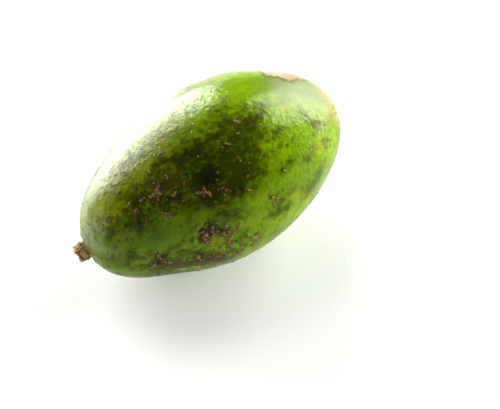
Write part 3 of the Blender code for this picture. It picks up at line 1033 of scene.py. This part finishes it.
def waxy_rind(settings):
    """Green rind of an unripe fruit under natural wax: a soft broad shine over mottled green,
    broken by brownish haze, dull sooty blotches, raised pale pores and dry pinkish cork."""
    material, tree, shader = new_material("waxy green rind")
    place = add(tree, "ShaderNodeTexCoord", {}, "Object")
    masks = {
        name: add(tree, "ShaderNodeAttribute", {}, "Fac", attribute_name=name)
        for name in ("cork", "plate", *PATCHES)
    }
    uneven = unevenness(tree, place)
    mottle = uneven["mottle"]
    bloom_and_painted_sheen, film_and_shade_cover, hazy, tanned, sooty = blotches(tree, masks, uneven)
    pits, rings, pores = pits_and_pores(tree, place, masks, uneven)
    edges, corky, cork = scar_cork(tree, settings, masks, uneven)
    rim, plate, pale = russet_plate(tree, settings, masks, uneven)

    # Younger, riper and darker parts of the green
    young = add(tree, "ShaderNodeMapRange", {0: uneven["wide"], 1: 0.38, 2: 0.62}, **SOFT)
    turning = add(tree, "ShaderNodeMath", {0: masks["olive"], 1: 0.25, 2: uneven["turning"]}, **PLUS)
    turning = add(tree, "ShaderNodeMapRange", {0: turning, 1: 0.52, 2: 0.74, 4: 0.75}, **SOFT)
    streaks = add(tree, "ShaderNodeMapRange", {0: uneven["patchy"], 1: 0.46, 2: 0.70, 4: 0.55}, **SOFT)
    flecks = add(tree, "ShaderNodeMapRange", {0: mottle, 1: 0.50, 2: 0.68, 4: 0.3}, **SOFT)

    # The colour, from the green to what lies uppermost
    skin = (*settings.middle, 1)
    for cover, colour in (
        (young, (*settings.bright, 1)),
        (turning, (*settings.ripe, 1)),
        (streaks, (*settings.deep, 1)),
        (flecks, (*settings.deep, 1)),
        # The bloom, partly a painted sheen along the upper limb, the highlight's edge and the lower band
        (bloom_and_painted_sheen, (*settings.bloom, 1)),
        # The dark film, partly painted shade on the middle band and the underside
        (film_and_shade_cover, (*settings.shade, 1)),
        (hazy, (*settings.haze, 1)),
        (tanned, (*settings.cork, 1)),
        (sooty, (*settings.soot, 1)),
        (pits, (*settings.soot, 1)),
        (rings, (*settings.haze, 1)),
        (pores, (*settings.pore, 1)),
        (edges, (*settings.dark_cork, 1)),
        (corky, cork),
        (rim, (*settings.dark_cork, 1)),
        (plate, pale),
    ):
        skin = add(tree, "ShaderNodeMix", {0: cover, 6: skin, 7: colour}, 2, **MIX)

    # Shine of the wax, duller where the skin is sooty, hazy, tan, bloomed or corky
    shine = add(tree, "ShaderNodeMapRange", {0: mottle, 1: 0.3, 2: 0.7, 3: 0.16, 4: 0.28})
    dull = add(tree, "ShaderNodeMath", {0: edges, 1: plate}, operation="MAXIMUM")
    for part, share in ((sooty, 0.16), (hazy, 0.12), (tanned, 0.22), (bloom_and_painted_sheen, 0.22), (dull, 0.42)):
        shine = add(tree, "ShaderNodeMath", {0: part, 1: share, 2: shine}, **PLUS)

    # Orange-peel unevenness under the wax, with the pits sunk and the pores raised, and smoother
    # under the bloom
    fine = uneven["peel"]
    for part, share in ((uneven["grain"], 0.12), (pores, 0.4), (pits, -0.3)):
        fine = add(tree, "ShaderNodeMath", {0: part, 1: share, 2: fine}, **PLUS)
    firm = add(tree, "ShaderNodeMath", {0: masks["haze"], 1: -0.5, 2: masks["bloom"]}, **PLUS)
    firm = add(tree, "ShaderNodeMapRange", {0: firm, 2: 0.6, 3: 1, 4: 0.25}, **SOFT)
    relief = add(tree, "ShaderNodeBump", {"Height": fine, "Strength": firm, "Distance": BUMP_RISE})
    tree.links.new(relief, shader.inputs["Normal"])
    tree.links.new(skin, shader.inputs["Base Color"])
    tree.links.new(shine, shader.inputs["Roughness"])
    shader.inputs["IOR"].default_value = 1.40
    shader.inputs["Specular IOR Level"].default_value = 0.30
    return material


def corky_bark(settings):
    """Dry bark of a snapped stalk: dull, brown, cracked along its length, paler where it broke."""
    material, tree, shader = new_material("dry corky bark")
    place = add(tree, "ShaderNodeTexCoord", {}, "Object")
    coarse, fine = (
        add(tree, "ShaderNodeTexNoise", {"Vector": place, "Scale": 1 / (size * MM), "Detail": detail})
        for size, detail in ((1.3, 4), (0.4, 3))
    )
    broken, crack = (
        add(tree, "ShaderNodeAttribute", {}, "Fac", attribute_name=name)
        for name in ("broken", "crack")
    )
    worn = add(tree, "ShaderNodeMapRange", {0: coarse, 1: 0.42, 2: 0.6})
    flecks = add(tree, "ShaderNodeMapRange", {0: fine, 1: 0.52, 2: 0.7})
    bark = (*settings.bark, 1)
    for cover, colour in (
        (worn, settings.pale_bark),
        (broken, settings.pale_bark),
        (flecks, settings.crack),
        (crack, settings.crack),
    ):
        bark = add(tree, "ShaderNodeMix", {0: cover, 6: bark, 7: (*colour, 1)}, 2, **MIX)
    relief = add(tree, "ShaderNodeBump", {"Height": fine, "Strength": 0.8, "Distance": BUMP_RISE})
    tree.links.new(relief, shader.inputs["Normal"])
    tree.links.new(bark, shader.inputs["Base Color"])
    shader.inputs["Roughness"].default_value = 0.82
    return material


def white_acrylic(settings):
    """Matt white acrylic of a shooting table, lit from below, which softens the shadow."""
    material, _, shader = new_material("matt white acrylic")
    shader.inputs["Base Color"].default_value = (*settings.floor, 1)
    shader.inputs["Roughness"].default_value = 0.9
    shader.inputs["Specular IOR Level"].default_value = 0.0
    shader.inputs["Emission Color"].default_value = (1, 1, 1, 1)
    shader.inputs["Emission Strength"].default_value = settings.table_glow
    return material


def finish_piece(name, mesh, material, node):
    """Makes the object, shades it smooth, hangs it under the root body and hides the solid that it
    stands for.
    """
    mesh.materials.append(material)
    mesh.polygons.foreach_set("use_smooth", [True] * len(mesh.polygons))
    piece = bpy.data.objects.new(name, mesh)
    bpy.context.scene.collection.objects.link(piece)
    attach(piece, "root")
    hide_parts(node)
    return piece


def write_mask(mesh, name, values):
    """Gives each corner of the mesh a value, which its material reads by that name."""
    mesh.attributes.new(name, "FLOAT", "POINT").data.foreach_set("value", values.astype(np.float32))


def make_table(settings):
    """A round white table top, much wider than the picture."""
    build = bmesh.new()
    bmesh.ops.create_circle(build, cap_ends=True, segments=TABLE_SIDES, radius=TABLE_RADIUS)
    mesh = bpy.data.meshes.new("floor")
    build.to_mesh(mesh)
    build.free()
    mesh.materials.append(white_acrylic(settings))
    floor = bpy.data.objects.new("floor", mesh)
    bpy.context.scene.collection.objects.link(floor)


def make_lights(settings):
    """Soft lights that face the fruit, or that face up where they lie on the table."""
    away = Vector((math.sin(CAMERA_TURN), math.cos(CAMERA_TURN), 0))
    right = Vector((math.cos(CAMERA_TURN), -math.sin(CAMERA_TURN), 0))
    for name, degrees, height, reach, size in LIGHTS:
        turn = math.radians(degrees)
        level = away * math.cos(turn) + right * math.sin(turn)
        lamp = bpy.data.lights.new(name, "AREA")
        lamp.shape = "RECTANGLE"
        lamp.size, lamp.size_y = size
        lamp.energy = getattr(settings, name)
        light = bpy.data.objects.new(name, lamp)
        if height is None:
            light.location = level * reach + Vector((0, 0, LYING_HEIGHT))
            light.rotation_euler = (math.pi, 0, math.atan2(level.y, level.x) + math.pi / 2)
        else:
            up = math.radians(height)
            way = level * math.cos(up) + Vector((0, 0, math.sin(up)))
            light.location = BODY_PLACE + way * reach
            light.rotation_euler = way.to_track_quat("Z", "Y").to_euler()
        light.visible_camera = False
        light.visible_diffuse = name.endswith("light")
        light.visible_glossy = name.endswith("shine")
        bpy.context.scene.collection.objects.link(light)


def make_room(settings):
    """The pale wall, which only the camera sees."""
    world = bpy.data.worlds.new("studio room")
    bpy.context.scene.world = world
    world.use_nodes = True
    wall = world.node_tree.nodes["Background"]
    wall.inputs["Color"].default_value = (1, 1, 1, 1)
    wall.inputs["Strength"].default_value = settings.backdrop
    world.cycles_visibility.diffuse = False
    world.cycles_visibility.glossy = False


def make_camera():
    """The view of the photograph, and the tones of the picture."""
    lens = bpy.data.cameras.new("camera")
    lens.sensor_width = CAMERA_SENSOR
    lens.lens = CAMERA_LENS
    lens.clip_start = 10 * MM
    camera = bpy.data.objects.new("camera", lens)
    camera.location = CAMERA_PLACE
    camera.rotation_euler = (math.pi / 2 - CAMERA_HEIGHT, 0, -CAMERA_TURN)
    bpy.context.scene.collection.objects.link(camera)
    bpy.context.scene.camera = camera
    bpy.context.scene.view_settings.view_transform = "Standard"
    bpy.context.scene.view_settings.look = "High Contrast"


class AMBARELLA_OT_fruit(Operator):
    """Makes the whole fruit, with its scars, pores and russet plate as real relief"""

    bl_idname = "ambarella.fruit"
    bl_label = "Fruit"

    def execute(self, context):
        settings = context.scene.ambarella_fruit
        mesh = cut_cube("fruit_skin")
        skin = smooth_body(mesh)
        uneven = rough(skin, RAGGED_SIZE)
        reach = cork_reach(skin, settings) + RAGGED_REACH * uneven
        plate = plate_reach(skin) + PLATE_RAGGED * uneven
        height = swells(skin) + end_relief(skin)
        height += settings.scar_rise * fade(reach, *SCAR_EDGE) * (1 + SCAR_UNEVEN * uneven)
        height += settings.patch_rise * fade(plate, *PLATE_EDGE)
        for size, rise, octaves, shift in BUMPS:
            height += rise * rough(skin, size, octaves, shift)
        points = skin + height[:, None] * outward(skin) + np.array(BODY_PLACE)
        points[:, 2] = rested(points[:, 2])
        mesh.vertices.foreach_set("co", points.ravel())
        mesh.update()
        write_mask(mesh, "cork", np.clip(0.5 - reach / CORK_MASK_REACH, 0, 1))
        write_mask(mesh, "plate", np.clip(plate / 2, 0, 1))
        for name, kind in PATCHES.items():
            write_mask(mesh, name, patches(skin, *kind))
        finish_piece("fruit_skin", mesh, waxy_rind(settings), "ambarella_fruit")
        return {"FINISHED"}


class AMBARELLA_OT_stump(Operator):
    """Makes the broken stump of the stalk, with cracked bark and a hollow pith"""

    bl_idname = "ambarella.stump"
    bl_label = "Stalk stump"

    def execute(self, context):
        settings = context.scene.ambarella_stump
        low = -HOLLOW_DEPTH - SOCKET_DEPTH + SOCKET_CLEARANCE
        length = settings.outside - low
        build = turn_stump(stump_outline(settings, low, length))
        cracks, broken = break_stump(build, settings, low, length)
        joint, way = stalk_joint()
        turned = way.to_track_quat("Z", "Y").to_matrix().to_4x4()
        middle = Matrix.Translation(Vector(joint) + BODY_PLACE)
        bmesh.ops.transform(build, matrix=middle @ turned, verts=build.verts)
        mesh = bpy.data.meshes.new("stalk_bark")
        build.to_mesh(mesh)
        build.free()
        write_mask(mesh, "crack", cracks)
        write_mask(mesh, "broken", broken)
        finish_piece("stalk_bark", mesh, corky_bark(settings), "stalk_stump")
        return {"FINISHED"}


class AMBARELLA_OT_stage(Operator):
    """Makes the white table, the lights, the pale wall and the camera"""

    bl_idname = "ambarella.stage"
    bl_label = "Stage"

    def execute(self, context):
        settings = context.scene.ambarella_stage
        make_table(settings)
        make_lights(settings)
        make_room(settings)
        make_camera()
        return {"FINISHED"}


class AMBARELLA_PT_panel(Panel):
    """Lists the fruit's pieces and their settings"""

    bl_label = "Ambarella"
    bl_idname = "AMBARELLA_PT_panel"
    bl_space_type = "VIEW_3D"
    bl_region_type = "UI"
    bl_category = "Ambarella"

    def draw(self, context):
        groups = (
            ("ambarella.fruit", context.scene.ambarella_fruit),
            ("ambarella.stump", context.scene.ambarella_stump),
            ("ambarella.stage", context.scene.ambarella_stage),
        )
        for operator, settings in groups:
            box = self.layout.box()
            box.operator(operator)
            for name in settings.__annotations__:
                box.prop(settings, name)


CLASSES = (
    FruitSettings,
    StumpSettings,
    StageSettings,
    AMBARELLA_OT_fruit,
    AMBARELLA_OT_stump,
    AMBARELLA_OT_stage,
    AMBARELLA_PT_panel,
)


def register():
    for kind in CLASSES:
        bpy.utils.register_class(kind)
    bpy.types.Scene.ambarella_fruit = PointerProperty(type=FruitSettings)
    bpy.types.Scene.ambarella_stump = PointerProperty(type=StumpSettings)
    bpy.types.Scene.ambarella_stage = PointerProperty(type=StageSettings)


def unregister():
    del bpy.types.Scene.ambarella_fruit
    del bpy.types.Scene.ambarella_stump
    del bpy.types.Scene.ambarella_stage
    for kind in reversed(CLASSES):
        bpy.utils.unregister_class(kind)


def main():
    register()
    bpy.ops.ambarella.fruit()
    bpy.ops.ambarella.stump()
    bpy.ops.ambarella.stage()


if __name__ == "__main__":
    main()
